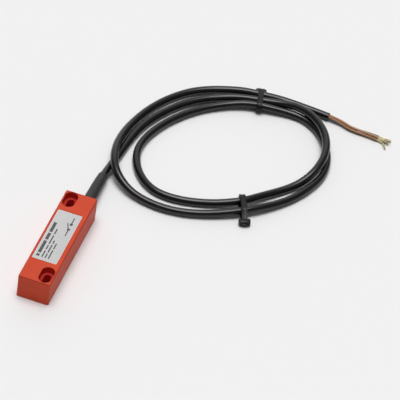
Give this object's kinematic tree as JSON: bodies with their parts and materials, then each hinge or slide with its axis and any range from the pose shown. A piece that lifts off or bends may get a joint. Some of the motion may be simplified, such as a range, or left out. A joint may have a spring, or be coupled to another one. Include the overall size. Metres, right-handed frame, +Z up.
{
  "type": "reed switch",
  "caption": "Screw-down block with sealed reed contacts that close near a magnet, and a tied coil of cable with bare core ends.",
  "frame": {"origin": "on the surface it rests on, under the middle of the housing", "axes": "+Y along the housing towards the end that the cable leaves, +Z up out of the labelled face, +X across"},
  "size_m": [0.1662, 0.2398, 0.0162],
  "materials": {
    "housing_red": "moulded, satin",
    "resin": "poured, slightly wavy",
    "label_print": "printed film",
    "board": "laminate",
    "capsule_glass": "clear",
    "lead_wire": "tinned",
    "contact_metal": "rolled",
    "solder": "bright",
    "insulation_brown": "extruded",
    "insulation_tan": "extruded",
    "insulation_blue": "extruded",
    "insulation_black": "extruded",
    "strand_metal": "tarnished wire",
    "boot": "moulded",
    "jacket": "extruded, satin",
    "tie_nylon": "moulded"
  },
  "bodies": {
    "root": {"housing": "housing_red", "potting_resin": "resin", "label": "label_print", "circuit_board": "board", "reed_glass_a": "capsule_glass", "reed_lead_a_front": "lead_wire", "reed_lead_a_rear": "lead_wire", "reed_glass_b": "capsule_glass", "reed_lead_b_front": "lead_wire", "reed_lead_b_rear": "lead_wire", "inner_core_brown": "insulation_brown", "inner_core_tan": "insulation_tan", "inner_core_blue": "insulation_blue", "inner_core_black": "insulation_black", "soldered_end_brown": "solder", "soldered_end_tan": "solder", "soldered_end_blue": "solder", "soldered_end_black": "solder", "cable_boot": "boot", "cable_jacket": "jacket", "core_brown": "insulation_brown", "core_tan": "insulation_tan", "core_blue": "insulation_blue", "core_black": "insulation_black", "strands_brown": "strand_metal", "strands_tan": "strand_metal", "strands_blue": "strand_metal", "strands_black": "strand_metal", "cable_tie_upper": "tie_nylon", "cable_tie_lower": "tie_nylon"},
    "blade_a_front": {"reed_blade_a_front": "contact_metal"},
    "blade_a_rear": {"reed_blade_a_rear": "contact_metal"},
    "blade_b_front": {"reed_blade_b_front": "contact_metal"},
    "blade_b_rear": {"reed_blade_b_rear": "contact_metal"}
  },
  "joints": [
    {"name": "blade_a_front_bend", "type": "hinge", "parent": "root", "child": "blade_a_front", "pos_m": [-0.0035, -0.0057, 0.01107], "axis": [1, 0, 0], "range_deg": [0, 1.35], "stiffness_Nm_per_rad": 0.001},
    {"name": "blade_a_rear_bend", "type": "hinge", "parent": "root", "child": "blade_a_rear", "pos_m": [-0.0035, 0.0057, 0.01163], "axis": [1, 0, 0], "range_deg": [0, 1.35], "stiffness_Nm_per_rad": 0.001},
    {"name": "blade_b_front_bend", "type": "hinge", "parent": "root", "child": "blade_b_front", "pos_m": [0.0035, -0.0057, 0.01107], "axis": [1, 0, 0], "range_deg": [0, 1.35], "stiffness_Nm_per_rad": 0.001},
    {"name": "blade_b_rear_bend", "type": "hinge", "parent": "root", "child": "blade_b_rear", "pos_m": [0.0035, 0.0057, 0.01163], "axis": [1, 0, 0], "range_deg": [0, 1.35], "stiffness_Nm_per_rad": 0.001}
  ],
  "couplings": [
    {"joint": "blade_a_rear_bend", "follows": "blade_a_front_bend", "ratio": 1},
    {"joint": "blade_b_rear_bend", "follows": "blade_b_front_bend", "ratio": 1}
  ]
}
